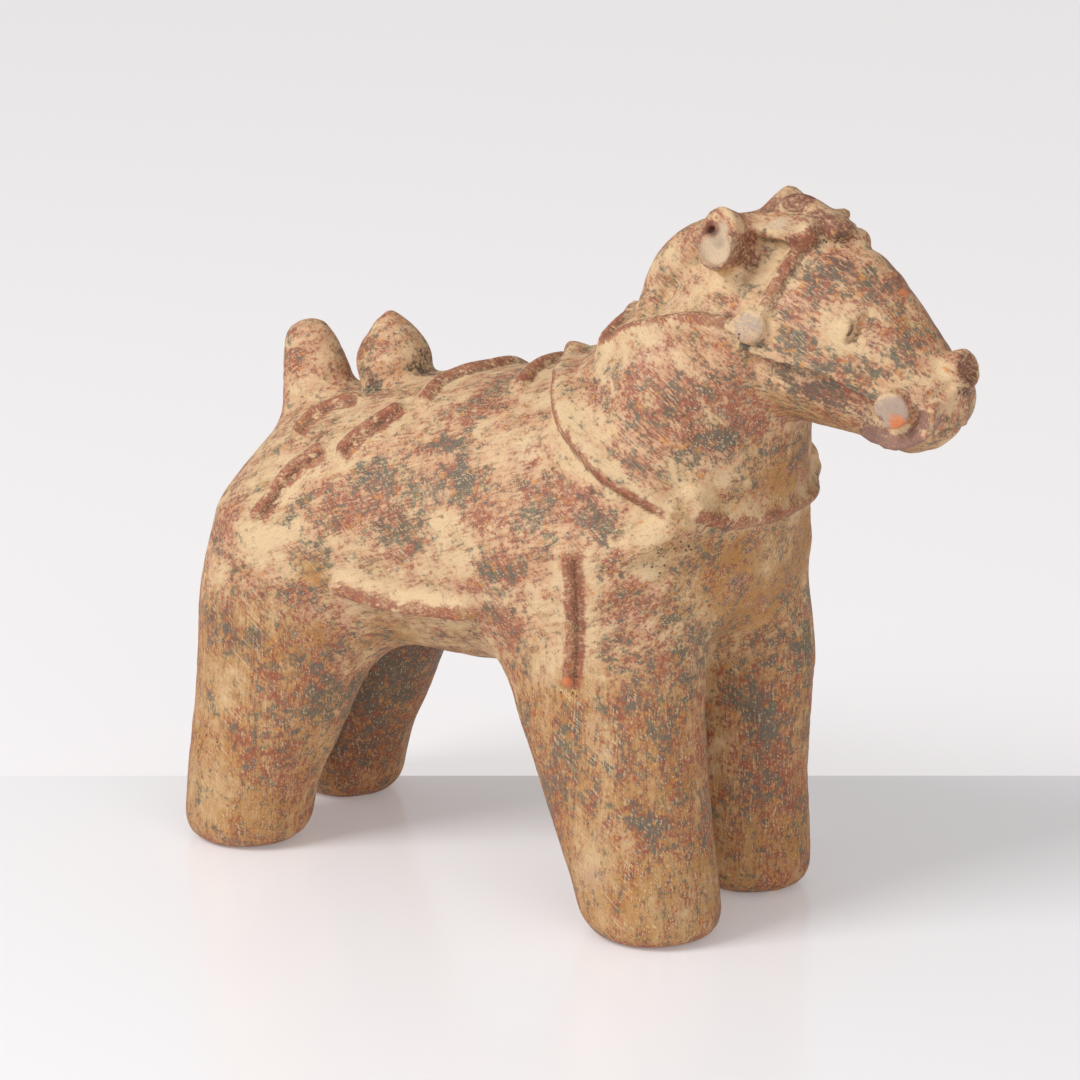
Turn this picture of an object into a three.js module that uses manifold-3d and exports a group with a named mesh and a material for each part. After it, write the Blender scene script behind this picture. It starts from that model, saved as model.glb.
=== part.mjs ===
// A hand-built terracotta horse in the manner of a haniwa tomb figure: a hollow fired-clay animal on
// four plain post legs, with harness straps, discs and a saddle finial luted on before firing. It is
// one piece of fired clay, so it is one solid. Millimetres, +X towards the nose, +Z up, near side -Y.
import * as THREE from 'three';
import { mergeVertices } from 'three/addons/utils/BufferGeometryUtils.js';
import Module from 'manifold-3d';

const wasm = await Module();
wasm.setup();

// Driving dimensions. All lengths are measured from the middle of the square the four feet make.
const SIDES = 18;            // faces round a full section
const STRAP_PROUD = 3;       // how far a luted clay strap stands off the body
const STRAP_HALF = 4;        // half the width of a strap
const STRAP_ROOT = 5;        // how deep a strap is worked into the clay below it
const DISC_THICK = 4.5;      // a harness disc, a pressed pellet of clay
const DISC_RADIUS = 8.5;
const FOOT_ROUND = 6;        // the worn edge round each sole

const ACROSS = new THREE.Vector3(0, 1, 0);

// ---------------------------------------------------------------- solids from sections and rings

// A closed mesh through rings of points, all with the same count, with a fan over each end.
function skinRings(rings) {
  const count = rings[0].length;
  const points = rings.flat();
  const faces = [];
  for (let ring = 0; ring < rings.length - 1; ring += 1) {
    for (let i = 0; i < count; i += 1) {
      const a = ring * count + i;
      const b = ring * count + (i + 1) % count;
      faces.push(a, b, b + count, a, b + count, a + count);
    }
  }
  const middle = (ring) => ring.reduce((sum, p) => sum.add(p), new THREE.Vector3()).divideScalar(count);
  const start = points.push(middle(rings[0])) - 1;
  const end = points.push(middle(rings.at(-1))) - 1;
  const last = (rings.length - 1) * count;
  for (let i = 0; i < count; i += 1) {
    const next = (i + 1) % count;
    faces.push(start, next, i, end, last + i, last + next);
  }
  const geometry = new THREE.BufferGeometry().setFromPoints(points);
  geometry.setIndex(faces);
  return geometry;
}

// One section: an oval with its own half-width, half-height above and half-height below. A power of
// 2 gives an ellipse and a lower one draws the section towards a kite.
function section({ centre, side, up, wide, above, below, powerUp = 2, powerDown = 2, sides = SIDES }) {
  const ring = [];
  for (let i = 0; i < sides; i += 1) {
    const turn = (i / sides) * Math.PI * 2;
    const power = Math.sin(turn) > 0 ? powerUp : powerDown;
    const reach = Math.sin(turn) > 0 ? above : below;
    const bend = (value) => Math.sign(value) * Math.abs(value) ** (2 / power);
    ring.push(centre.clone()
      .addScaledVector(side, wide * bend(Math.cos(turn)))
      .addScaledVector(up, reach * bend(Math.sin(turn))));
  }
  return ring;
}

// A limb or trunk skinned along a smooth spine. Each station is
// [x, y, z, half-width, half-height above, half-height below]; the ends are domed by roundEnds.
function body(stations, { steps = 2, roundEnds = 0.8, sides = SIDES, powerUp = 2, powerDown = 2 } = {}) {
  const spine = new THREE.CatmullRomCurve3(stations.map(([x, y, z]) => new THREE.Vector3(x, y, z)));
  const sizes = new THREE.CatmullRomCurve3(stations.map(([, , , w, a, b]) => new THREE.Vector3(w, a, b ?? a)));
  spine.curveType = sizes.curveType = 'catmullrom';
  const total = (stations.length - 1) * steps;
  const rings = [];
  const ringAt = (t, push, shrink) => {
    const along = spine.getTangent(t);
    const up = new THREE.Vector3().crossVectors(along, ACROSS).normalize();
    const size = sizes.getPoint(t).multiplyScalar(shrink);
    const centre = spine.getPoint(t).addScaledVector(along, push);
    rings.push(section({ centre, side: ACROSS, up, wide: size.x, above: size.y, below: size.z,
      powerUp, powerDown, sides }));
  };
  const dome = (t, outward) => {
    const size = sizes.getPoint(t);
    const length = roundEnds * Math.min(size.x, size.y, size.z);
    const angles = [72, 42].map(THREE.MathUtils.degToRad);
    if (outward > 0) angles.reverse();
    for (const angle of angles) ringAt(t, outward * length * Math.sin(angle), Math.cos(angle));
  };
  if (roundEnds > 0) dome(0, -1);
  for (let i = 0; i <= total; i += 1) ringAt(i / total, 0, 1);
  if (roundEnds > 0) dome(1, 1);
  return solid(skinRings(rings));
}

// A post leg: level ovals stacked up from a flat sole. Each station is
// [height, x, y, half-width across, half-depth fore and aft].
function leg(stations, steps = 2) {
  const levels = new THREE.CatmullRomCurve3(stations.map(([z, x, y]) => new THREE.Vector3(x, y, z)));
  const sizes = new THREE.CatmullRomCurve3(stations.map(([, , , w, d]) => new THREE.Vector3(w, d, 0)));
  levels.curveType = sizes.curveType = 'catmullrom';
  const forward = new THREE.Vector3(1, 0, 0);
  const rings = [];
  const add = (centre, size, inset) => rings.push(section({ centre, side: forward, up: ACROSS,
    wide: size.y - inset, above: size.x - inset, below: size.x - inset, sides: 16 }));
  const foot = levels.getPoint(0);
  for (const angle of [0, 30, 60]) {
    const turn = THREE.MathUtils.degToRad(angle);
    const lift = FOOT_ROUND * (1 - Math.cos(turn));
    add(foot.clone().setZ(lift), sizes.getPoint(0), FOOT_ROUND * (1 - Math.sin(turn)));
  }
  const total = (stations.length - 1) * steps;
  for (let i = 0; i <= total; i += 1) {
    const centre = levels.getPoint(i / total);
    if (centre.z < FOOT_ROUND) centre.z = FOOT_ROUND;
    add(centre, sizes.getPoint(i / total), 0);
  }
  return solid(skinRings(rings));
}

function solid(geometry) {
  const plain = geometry.clone();
  for (const name of Object.keys(plain.attributes)) if (name !== 'position') plain.deleteAttribute(name);
  const merged = mergeVertices(plain, 1e-4);
  return new wasm.Manifold(new wasm.Mesh({
    numProp: 3,
    vertProperties: new Float32Array(merged.attributes.position.array),
    triVerts: new Uint32Array(merged.index.array),
  }));
}

function toGeometry(manifold) {
  const mesh = manifold.getMesh();
  const geometry = new THREE.BufferGeometry();
  geometry.setAttribute('position', new THREE.BufferAttribute(new Float32Array(mesh.vertProperties), 3));
  geometry.setIndex(new THREE.BufferAttribute(new Uint32Array(mesh.triVerts), 1));
  return geometry;
}

const joinAll = (solids) => solids.reduce((whole, piece) => whole.add(piece));

// ---------------------------------------------------------------- the modelled animal

const trunk = body([
  [-110, 0, 156, 42, 42], [-98, 0, 161, 58, 54], [-80, 0, 169, 69, 62], [-40, 0, 177, 74, 68],
  [5, 0, 182, 75, 73], [50, 0, 189, 76, 75], [80, 0, 196, 74, 71], [98, 0, 204, 66, 57],
]);

const LEGS = {
  hindNear: [[0, -122.5, -51, 31.5, 32], [40, -118, -47, 32, 35.5], [82, -108.5, -42, 34, 45],
    [120, -102, -37, 39, 53], [165, -96, -31, 41, 50], [195, -92, -25, 34, 40], [212, -89, -20, 20, 24]],
  hindFar: [[0, -127, 40, 28.5, 27.5], [40, -121, 40, 30, 32], [82, -110, 38, 33, 42],
    [120, -102, 36, 38, 52], [165, -96, 31, 41, 50], [195, -92, 25, 34, 40], [212, -89, 20, 20, 24]],
  foreNear: [[0, 131, -46.5, 33, 34], [30, 123.5, -45, 33, 37], [59, 114, -44, 34, 43],
    [95, 103.5, -42, 36, 51], [128, 97, -41, 37, 57], [180, 95, -37, 40, 52], [212, 95, -32, 34, 44],
    [232, 96, -28, 20, 26]],
  foreFar: [[0, 130, 41, 29.5, 30], [30, 124, 41, 30, 36.5], [59, 117, 40, 31.5, 44],
    [95, 109, 39, 34, 54], [128, 103, 39, 36, 59], [180, 100, 37, 40, 52], [212, 98, 32, 34, 44],
    [232, 97, 28, 20, 26]],
};

// The clay worked up from the barrel into the foot of the neck.
const withers = body([
  [60, 0, 190, 75, 72], [84, 0, 200, 74, 70], [104, 0, 216, 69, 66], [116, 0, 238, 62, 61],
]);

const neck = body([
  [110, 0, 198, 64, 59], [115, 0, 228, 63, 62], [122, 0, 255, 58, 56], [136, 0, 277, 48, 43],
  [151, 0, 297, 38, 35],
]);

// The hogged mane is a thick rounded comb over the back of the neck.
const mane = body([
  [103, 0, 284, 20, 15, 30], [105.5, 0, 306, 20, 15, 34], [112, 0, 321, 20, 15, 34],
  [124, 0, 332, 19, 15, 34], [142, 0, 337, 18, 15, 34], [160, 0, 338, 17, 14, 30],
], { sides: 12 });

// The head is kite-shaped in section: a ridge down the nose, widest at the jaw, undercut below.
const head = body([
  [152, 0, 298, 36, 42, 36], [178, 0, 297, 39, 50, 40], [205, 0, 291, 36.5, 54, 36],
  [232, 0, 282, 30, 40, 28], [251, 0, 275.5, 24.5, 27, 25], [262, 0, 271.5, 21.5, 22, 20],
], { roundEnds: 0.45, powerUp: 1.6, powerDown: 1.5 });

const tail = body([
  [-112, 0, 205, 20, 24], [-113, 0, 228, 16, 20], [-116, 0, 250, 12, 16], [-117, 0, 258, 10, 13],
], { sides: 12, roundEnds: 0.9 });

// The saddle's acorn finial: a waisted neck under a pointed cap, leaning back a little.
const ACORN = { at: [-61, 0, 228], lean: 4, profile: [[0, -6], [21, -6], [19, 8], [18, 13], [20.5, 21],
  [21, 26], [19, 32], [14, 39], [8, 44], [3, 47.5], [0, 49]] };

function turned({ at, lean, profile }) {
  const outline = profile.map(([radius, height]) => new THREE.Vector2(radius, height));
  const geometry = new THREE.LatheGeometry(outline, 16);
  geometry.rotateX(Math.PI / 2);
  geometry.rotateY(THREE.MathUtils.degToRad(-lean));
  return solid(geometry.translate(...at));
}

function pellet([x, y, z], [rx, ry, rz]) {
  return solid(new THREE.SphereGeometry(1, 12, 8).scale(rx, ry, rz).translate(x, y, z));
}

// The forelock is tied up in a knot on the poll: a low ledge with a pointed tuft behind it.
const forelock = [pellet([180, 0, 350], [19, 13, 7]), pellet([176, 3, 355], [15, 7, 12])];

const clay = joinAll([trunk, ...Object.values(LEGS).map((stations) => leg(stations)), withers, neck, mane,
  head,
  tail, turned(ACORN), ...forelock]);

// ---------------------------------------------------------------- harness luted onto the clay

const surface = new THREE.Mesh(toGeometry(clay), new THREE.MeshBasicMaterial({ side: THREE.DoubleSide }));
surface.updateMatrixWorld();
const RAY_START = 250;

// The outermost clay met on the way in to a core point from the side that a guide point lies on.
function touch(guide, core) {
  const outward = new THREE.Vector3().subVectors(guide, core).normalize();
  const start = core.clone().addScaledVector(outward, RAY_START);
  const hit = new THREE.Raycaster(start, outward.clone().negate()).intersectObject(surface)[0];
  return { point: hit.point, normal: hit.face.normal.clone() };
}

// A rolled strap pressed along the clay through guide points, each sighted from the core nearest it.
function strap(guides, coreOf, { half = STRAP_HALF, proud = STRAP_PROUD, root = STRAP_ROOT, spacing = 14 } = {}) {
  const route = new THREE.CatmullRomCurve3(guides.map((guide) => new THREE.Vector3(...guide)));
  const total = Math.max(3, Math.round(route.getLength() / spacing));
  const stops = route.getSpacedPoints(total).map((guide) => touch(guide, coreOf(guide)));
  const rings = [];
  const ringAt = (stop, along, shrink) => {
    const side = new THREE.Vector3().crossVectors(stop.normal, along).normalize();
    const up = new THREE.Vector3().crossVectors(along, side).normalize();
    rings.push(section({ centre: stop.point, side, up, wide: half * shrink, above: proud * shrink,
      below: root, sides: 6 }));
  };
  const heading = (i) => new THREE.Vector3().subVectors(
    stops[Math.min(i + 1, total)].point, stops[Math.max(i - 1, 0)].point).normalize();
  const moved = (i, push) => ({ point: stops[i].point.clone().addScaledVector(heading(i), push),
    normal: stops[i].normal });
  ringAt(moved(0, -0.7 * half), heading(0), 0.55);
  for (let i = 0; i <= total; i += 1) ringAt(stops[i], heading(i), 1);
  ringAt(moved(total, 0.7 * half), heading(total), 0.55);
  return solid(skinRings(rings));
}

// A round pellet of clay pressed flat onto the surface, facing along its normal.
function disc(guide, core, { radius = DISC_RADIUS, thick = DISC_THICK } = {}) {
  const { point, normal } = touch(new THREE.Vector3(...guide), new THREE.Vector3(...core));
  return roundel(point, normal, radius, thick);
}

function roundel(point, normal, radius, thick) {
  const edge = thick * 0.3;
  const outline = [[0, -thick], [radius * 0.9, -thick], [radius, thick - edge], [radius - edge, thick],
    [0, thick]].map(([r, height]) => new THREE.Vector2(r, height));
  const geometry = new THREE.LatheGeometry(outline, 16);
  geometry.applyQuaternion(new THREE.Quaternion().setFromUnitVectors(ACROSS, normal));
  return solid(geometry.translate(point.x, point.y, point.z));
}

const trunkCore = ({ x, y }) => new THREE.Vector3(x, y * 0.2, 178);
const neckCore = () => new THREE.Vector3(112, 0, 238);
const headCore = ({ x }) => new THREE.Vector3(x, 0, 300 - 0.13 * (x - 150));
const jawCore = ({ x }) => new THREE.Vector3(x - 6, 0, 272);

// Each side carries the same straps, given here for the near side.
const SIDE_STRAPS = [
  { core: trunkCore, at: [[-89, -43, 218], [-87, -35, 224], [-80, -28, 230], [-66, -26, 235]] },
  { core: trunkCore, at: [[-49, -58, 218], [-44, -53, 225], [-37, -48, 231], [-30, -41, 237]] },
  { core: trunkCore, at: [[-93, -72, 182], [-87, -68, 192], [-80, -61, 204], [-66, -57, 214]] },
  { core: trunkCore, at: [[-42, -68, 148], [-10, -66, 146], [30, -67, 149]] },
  { core: trunkCore, at: [[104, -78, 191], [104, -78, 172], [103, -77, 151], [100, -76, 131]] },
  { core: neckCore, at: [[157, -47, 221], [147, -56, 209], [134, -67, 196]], half: 10, proud: 6 },
  { core: headCore, at: [[166, -37, 307], [148, -38, 307], [124, -36, 302], [100, -34, 293],
    [91, -34, 287]], half: 5 },
  { core: headCore, at: [[194, -6, 352], [188, -14, 341], [186, -22, 333], [183, -32, 318]], half: 3.5 },
  { core: jawCore, at: [[230, -22, 265], [236, -22, 259], [244, -20, 256], [253, -20, 259],
    [261, -20, 268], [264, -19, 276]], half: 3.5 },
  { core: headCore, at: [[229, -22, 316], [226, -25, 311], [224, -28, 306]], half: 2.5, proud: 1.5 },
];

// Straps that cross the middle: the saddle's two bows and the band over the chest.
const CROSS_STRAPS = [
  { core: trunkCore, at: [[-14, -33, 245], [-16, -20, 250], [-8, -6, 256], [-2, 6, 257], [0, 18, 254],
    [-4, 30, 247]], half: 5 },
  { core: trunkCore, at: [[38, -25, 257], [35, -12, 262], [34, 0, 263], [36, 12, 262], [38, 25, 257]],
    half: 5 },
  { core: neckCore, at: [[156, -48, 217], [165, -37, 212], [174, -15, 211], [176, 0, 213],
    [174, 15, 211], [165, 37, 212], [156, 48, 217]], half: 5 },
];

// The collar is a band round the neck's foot, from one chest lug up over the withers to the other.
const COLLAR = { middle: [100, 0, 240], dip: 27, opening: 42, stops: 14, half: 6, proud: 4, root: 12 };

function collar({ middle, dip, opening, stops, ...size }) {
  const centre = new THREE.Vector3(...middle);
  const forward = new THREE.Vector3(1, 0, 0).applyAxisAngle(ACROSS, THREE.MathUtils.degToRad(dip));
  const guides = [];
  for (let i = 0; i <= stops; i += 1) {
    const turn = THREE.MathUtils.degToRad(opening + (360 - 2 * opening) * (i / stops));
    const outward = forward.clone().multiplyScalar(Math.cos(turn)).addScaledVector(ACROSS, Math.sin(turn));
    guides.push(touch(centre.clone().add(outward), centre).point.toArray());
  }
  return strap(guides, () => centre, size);
}

// Ears are short rolled tubes of clay that stick straight out sideways.
function ear(side) {
  const length = 24;
  const tube = new THREE.CylinderGeometry(9, 9, length, 16);
  return solid(tube.translate(157, side * (14 + length / 2), 342));
}

const mirrored = (points) => points.map(([x, y, z]) => [x, -y, z]);
const harness = [];
for (const { core, at, ...size } of SIDE_STRAPS) {
  harness.push(strap(at, core, size), strap(mirrored(at), core, size));
}
for (const { core, at, ...size } of CROSS_STRAPS) harness.push(strap(at, core, size));
for (const side of [-1, 1]) {
  harness.push(disc([177, side * 37, 307], [177, 0, 297]));
  harness.push(disc([247, side * 25, 276], [247, 0, 274]));
  harness.push(ear(side));
}
harness.push(collar(COLLAR));
harness.push(roundel(new THREE.Vector3(268, 0, 293), new THREE.Vector3(0.93, 0, 0.36).normalize(), 9.5, 4));
harness.push(pellet([200, 0, 350], [7.5, 8, 6]));

// ---------------------------------------------------------------- one fired piece

const geometry = toGeometry(joinAll([clay, ...harness]));
geometry.computeBoundingBox();
const { min, max } = geometry.boundingBox;
geometry.translate(-(min.x + max.x) / 2, -(min.y + max.y) / 2, 0);

const horse = new THREE.Mesh(geometry, new THREE.MeshStandardMaterial({
  color: 0xb78a5e, roughness: 0.85, metalness: 0,
}));
horse.name = 'horse';

const piece = new THREE.Group();
piece.add(horse);
export default piece;
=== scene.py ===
import math

import bpy
import numpy as np
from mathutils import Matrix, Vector


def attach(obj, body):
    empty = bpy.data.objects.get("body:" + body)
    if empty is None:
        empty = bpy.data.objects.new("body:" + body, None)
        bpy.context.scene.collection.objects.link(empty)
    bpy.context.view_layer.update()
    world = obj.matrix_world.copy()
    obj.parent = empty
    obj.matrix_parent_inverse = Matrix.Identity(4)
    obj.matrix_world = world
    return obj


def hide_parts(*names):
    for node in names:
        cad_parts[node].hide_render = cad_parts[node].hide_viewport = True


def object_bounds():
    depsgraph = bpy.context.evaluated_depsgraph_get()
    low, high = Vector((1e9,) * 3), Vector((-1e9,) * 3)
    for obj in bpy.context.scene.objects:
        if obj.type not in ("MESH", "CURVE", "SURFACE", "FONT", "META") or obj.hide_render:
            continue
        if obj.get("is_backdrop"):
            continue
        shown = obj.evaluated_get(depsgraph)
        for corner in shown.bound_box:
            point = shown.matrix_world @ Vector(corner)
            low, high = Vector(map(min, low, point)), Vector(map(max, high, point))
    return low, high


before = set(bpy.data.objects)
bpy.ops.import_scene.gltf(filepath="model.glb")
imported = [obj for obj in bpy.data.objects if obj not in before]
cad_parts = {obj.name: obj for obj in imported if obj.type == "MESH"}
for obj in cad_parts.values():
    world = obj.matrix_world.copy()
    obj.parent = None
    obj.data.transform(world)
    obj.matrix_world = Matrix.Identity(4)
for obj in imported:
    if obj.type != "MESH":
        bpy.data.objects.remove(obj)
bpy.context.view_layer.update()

MM = 0.001

# ------------------------------------------------------------------ viewpoint
# The camera stands ahead of the horse's right shoulder, a little above its back, with a long lens.
# Places on the horse are in millimetres from the middle of its four feet; the frame has its origin
# at the middle of the horse's whole length and width, a little ahead of that.

MIDDLE = np.array([59.9, -1.6, 0.0])
VIEW_AROUND = math.radians(35.5)
VIEW_ABOVE = math.radians(15.8)
VIEW_DISTANCE = 2.3
AIM = (np.array([-6.2, 49.2, 154.1]) - MIDDLE) * MM
LENS = 149.5
SENSOR = 36.0

to_camera = Vector((math.sin(VIEW_AROUND) * math.cos(VIEW_ABOVE),
                    -math.cos(VIEW_AROUND) * math.cos(VIEW_ABOVE), math.sin(VIEW_ABOVE)))
camera = bpy.data.objects.new("camera", bpy.data.cameras.new("camera"))
camera.data.lens = LENS
camera.data.sensor_width = SENSOR
camera.location = Vector(AIM) + to_camera * VIEW_DISTANCE
camera.rotation_mode = "QUATERNION"
camera.rotation_quaternion = (-to_camera).to_track_quat("-Z", "Y")
bpy.context.collection.objects.link(camera)
bpy.context.scene.camera = camera
bpy.context.scene.view_settings.view_transform = "Standard"

# ------------------------------------------------------------------ barrel and legs
# The trunk is a thick-walled barrel of coiled clay, and the legs are four clay cylinders welded
# under it. The joins are thumbed over until barrel and legs flow into each other.

BARREL = [
    (-110, 0, 156, 42, 42), (-98, 0, 161, 58, 54), (-80, 0, 169, 69, 62), (-40, 0, 177, 74, 68),
    (5, 0, 182, 75, 73), (50, 0, 189, 76, 75), (80, 0, 196, 74, 71), (98, 0, 204, 66, 57)]
LEGS = [
    [(-96, -30, 160, 40, 47), (-101, -36, 125, 38, 52), (-108.5, -42, 82, 33.5, 44.5),
     (-118, -47, 40, 32, 35.5), (-122.5, -51, -8, 31.5, 32)],
    [(-97, 30, 168, 40, 50), (-101, 34, 125, 37, 50), (-110, 38, 82, 32, 41),
     (-121, 40, 40, 30, 32), (-127, 40, -8, 28.5, 27.5)],
    [(94, -36, 184, 38, 50), (98.5, -41, 125, 35, 52), (105.5, -42, 95, 34.5, 47.5),
     (115, -44, 59, 33.5, 41.5), (123.5, -45, 30, 33, 37), (131, -46.5, -8, 33, 34)],
    [(102, 36, 184, 38, 54), (104, 39, 125, 35, 59), (109, 39, 95, 33, 54),
     (117, 40, 59, 31, 44), (124, 41, 30, 30, 36.5), (130, 41, -8, 29.5, 30)]]
LEG_WELD, CROTCH_WELD, WORN_FOOT = 26, 12, 15
ACROSS = np.array([0.0, 1.0, 0.0])
OUT_OF_REACH = 60.0


def smooth_line(stations, per_span=3):
    """A smooth curve through the stations, with a few rows to each span."""
    rows = np.asarray(stations, float)
    rows = np.vstack([2 * rows[0] - rows[1], rows, 2 * rows[-1] - rows[-2]])
    line = []
    for a, b, c, d in zip(rows[:-3], rows[1:-2], rows[2:-1], rows[3:]):
        for t in np.arange(per_span) / per_span:
            line.append(0.5 * (2 * b + (c - a) * t + (2 * a - 5 * b + 4 * c - d) * t ** 2
                               + (3 * b - a - 3 * c + d) * t ** 3))
    return np.array(line + [rows[-2]])


def limb(at, stations, cap=0.9, power=None):
    """How far points are outside a limb of oval section. A station is x, y, z, half-width and
    half-height, with a second half-height below the spine where the two differ. A power below 2,
    one for above the spine and one for below, pinches the oval towards a kite."""
    rows = smooth_line([row if len(row) == 6 else (*row, row[4]) for row in stations])
    reach = rows[:, 3:].max() + 32
    close = ((at > rows[:, :3].min(0) - reach) & (at < rows[:, :3].max(0) + reach)).all(1)
    distance = np.full(len(at), OUT_OF_REACH)
    spots = at[close]
    nearest = np.full(len(spots), OUT_OF_REACH)
    for here, there in zip(rows[:-1], rows[1:]):
        run = there[:3] - here[:3]
        length = np.linalg.norm(run)
        along = run / length
        side = ACROSS - along * (ACROSS @ along)
        side /= np.linalg.norm(side)
        up = np.cross(along, side)
        offset = spots - here[:3]
        share = np.clip(offset @ along / length, 0, 1)
        offset = offset - share[:, None] * run
        wide, above, below = (here[3:, None] + share * (there[3:] - here[3:])[:, None])
        x, y, z = offset @ along, offset @ side, offset @ up
        high = np.where(z > 0, above, below)
        end = cap * np.minimum(wide, high)
        x, y, z = x / end, y / wide, z / high
        if power is None:
            out = np.sqrt(x * x + y * y + z * z + 1e-12)
            slope = np.sqrt((x / end) ** 2 + (y / wide) ** 2 + (z / high) ** 2 + 1e-12) / out
        else:
            p = np.where(z > 0, power[0], power[1])
            x, y, z = np.abs(x) + 1e-9, np.abs(y) + 1e-9, np.abs(z) + 1e-9
            x_part, y_part, z_part = x ** (p - 1), y ** (p - 1), z ** (p - 1)
            out = (x * x_part + y * y_part + z * z_part) ** (1 / p)
            slope = np.sqrt((x_part / end) ** 2 + (y_part / wide) ** 2
                            + (z_part / high) ** 2) * np.maximum(out, 1e-3) ** (1 - p)
        nearest = np.minimum(nearest, (out - 1) / np.maximum(slope, 1 / 60))
    distance[close] = nearest
    return distance


def weld(a, b, fillet):
    """Two lumps of clay joined, with the join thumbed over to a soft fillet."""
    near = np.maximum(fillet - np.abs(a - b), 0) / fillet
    return np.minimum(a, b) - near * near * fillet / 4


def carve(a, b, ease):
    """The lump b cut out of the lump a, with an eased edge."""
    return -weld(-a, b, ease)


def body(at):
    legs = limb(at, LEGS[0], cap=0.5)
    for stations in LEGS[1:]:
        legs = weld(legs, limb(at, stations, cap=0.5), CROTCH_WELD)
    return weld(limb(at, BARREL), legs, LEG_WELD)


# ------------------------------------------------------------------ neck, mane and head
# The neck is a stout cone on the shoulders, the hogged mane a thick comb behind it. The head is a
# wedge pinched up to a ridge down the nose, widest at the jaw and undercut below.

NECK = [(111, 0, 198, 64, 58), (116, 0, 228, 63, 60), (123, 0, 255, 58, 54), (137, 0, 277, 48, 42),
        (151, 0, 297, 38, 35)]
MANE = [(106.5, 0, 284, 20, 15, 30), (109, 0, 305, 20, 15, 34), (115, 0, 319.5, 20, 15, 34),
        (126.5, 0, 330, 19, 15, 34), (143, 0, 335.5, 18, 15, 34), (160, 0, 337, 17, 14, 30)]
HEAD = [(152, 0, 298, 36, 42, 36), (178, 0, 297, 39, 49.5, 40), (205, 0, 291, 36.5, 52.5, 37),
        (232, 0, 282, 30, 37.5, 31), (251, 0, 275.5, 24.5, 25.5, 28), (261, 0, 271.5, 21.5, 21, 21)]
NECK_WELD, MANE_WELD, HEAD_WELD = 22, 9, 10
PINCHED = (1.6, 1.5)


def animal(at):
    clay = weld(body(at), limb(at, NECK), NECK_WELD)
    clay = weld(clay, limb(at, MANE), MANE_WELD)
    clay = weld(clay, limb(at, HEAD, cap=0.45, power=PINCHED), HEAD_WELD)
    return carve(clay, at[:, 2], WORN_FOOT)


# The lump so far is set out on a grid of points, coarse first and then at half the spacing. A
# point's value is its distance outside the clay. The smaller pieces are then added to that grid.

COARSE = 2.5
FINE = COARSE / 2
GRID_LOW = np.array([-172.5, -97.5, -7.5])
GRID_HIGH = np.array([297.5, 97.5, 382.5])
BLOCK = 4
BAND = 20
HANDFUL = 40000

steps = np.round((GRID_HIGH - GRID_LOW) / COARSE).astype(int) + 1
corners = np.stack(np.meshgrid(*[np.arange(0, n, BLOCK) for n in steps], indexing="ij"), -1).reshape(-1, 3)
middles = animal(GRID_LOW + COARSE * (corners + BLOCK / 2))
clay = np.full(steps, OUT_OF_REACH, np.float32)
inside = np.stack(np.meshgrid(*[np.arange(BLOCK)] * 3, indexing="ij"), -1).reshape(-1, 3)
for corner in corners[middles < -BAND]:
    clay[tuple(slice(a, a + BLOCK) for a in corner)] = -OUT_OF_REACH
where = (corners[np.abs(middles) <= BAND][:, None] + inside).reshape(-1, 3)
where = where[(where < steps).all(1)]
for first in range(0, len(where), HANDFUL):
    some = where[first:first + HANDFUL]
    clay[tuple(some.T)] = animal(GRID_LOW + COARSE * some)


def halve_spacing(grid, axis):
    """The grid with a smooth value put in half-way between each two along one axis."""
    grid = np.moveaxis(grid, axis, 0)
    ends = np.concatenate([grid[:1], grid, grid[-1:]])
    between = (9 * (ends[1:-2] + ends[2:-1]) - ends[:-3] - ends[3:]) / 16
    finer = np.empty((2 * len(grid) - 1, *grid.shape[1:]), np.float32)
    finer[::2], finer[1::2] = grid, between
    return np.moveaxis(finer, 0, axis)


for axis in range(3):
    clay = halve_spacing(clay, axis)
clay = np.ascontiguousarray(clay)


def grid_points(low, high, skin=None):
    """The grid's points inside a box, or only those within skin of the clay's surface."""
    first = np.maximum(((np.asarray(low) - GRID_LOW) / FINE).astype(int), 0)
    last = np.minimum(np.ceil((np.asarray(high) - GRID_LOW) / FINE).astype(int) + 1, clay.shape)
    where = np.stack(np.meshgrid(*[np.arange(a, b) for a, b in zip(first, last)], indexing="ij"), -1)
    where = where.reshape(-1, 3)
    if skin is not None:
        where = where[np.abs(clay[tuple(where.T)]) < skin]
    return tuple(where.T), GRID_LOW + FINE * where


def add(shape, low, high, fillet):
    """Weld a shape, given as a distance, onto the clay inside a box."""
    where, at = grid_points(low, high)
    clay[where] = weld(clay[where], shape(at), fillet)


def cut(shape, low, high, ease):
    """Cut a shape out of the clay inside a box."""
    where, at = grid_points(low, high)
    clay[where] = carve(clay[where], shape(at), ease)


def both_sides(place):
    """A place on the right side and its twin on the left."""
    x, y, z = place
    return [np.array([x, y, z], float), np.array([x, -y, z], float)]


# ------------------------------------------------------------------ tail and saddle finial
# The docked tail is a stub of clay pinched at its root. In front of it an acorn-shaped knob on a
# short waist stands for the fitting behind the saddle.

TAIL = [(-107, 0, 205, 20, 24), (-109.5, 0, 228, 16, 21), (-114.5, 0, 249, 12, 16), (-116.5, 0, 256, 10, 13)]
ACORN = [(-60, 0, 226, 18, 18), (-60.5, 0, 238, 16.5, 16.5), (-61, 0, 245, 18.5, 18.5),
         (-61.5, 0, 252, 19.4, 19.4), (-62, 0, 259, 16.5, 16.5), (-63, 0, 266, 11.5, 11.5),
         (-63.5, 0, 271, 7.2, 7.2), (-64, 0, 275, 3.2, 3.2)]

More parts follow.
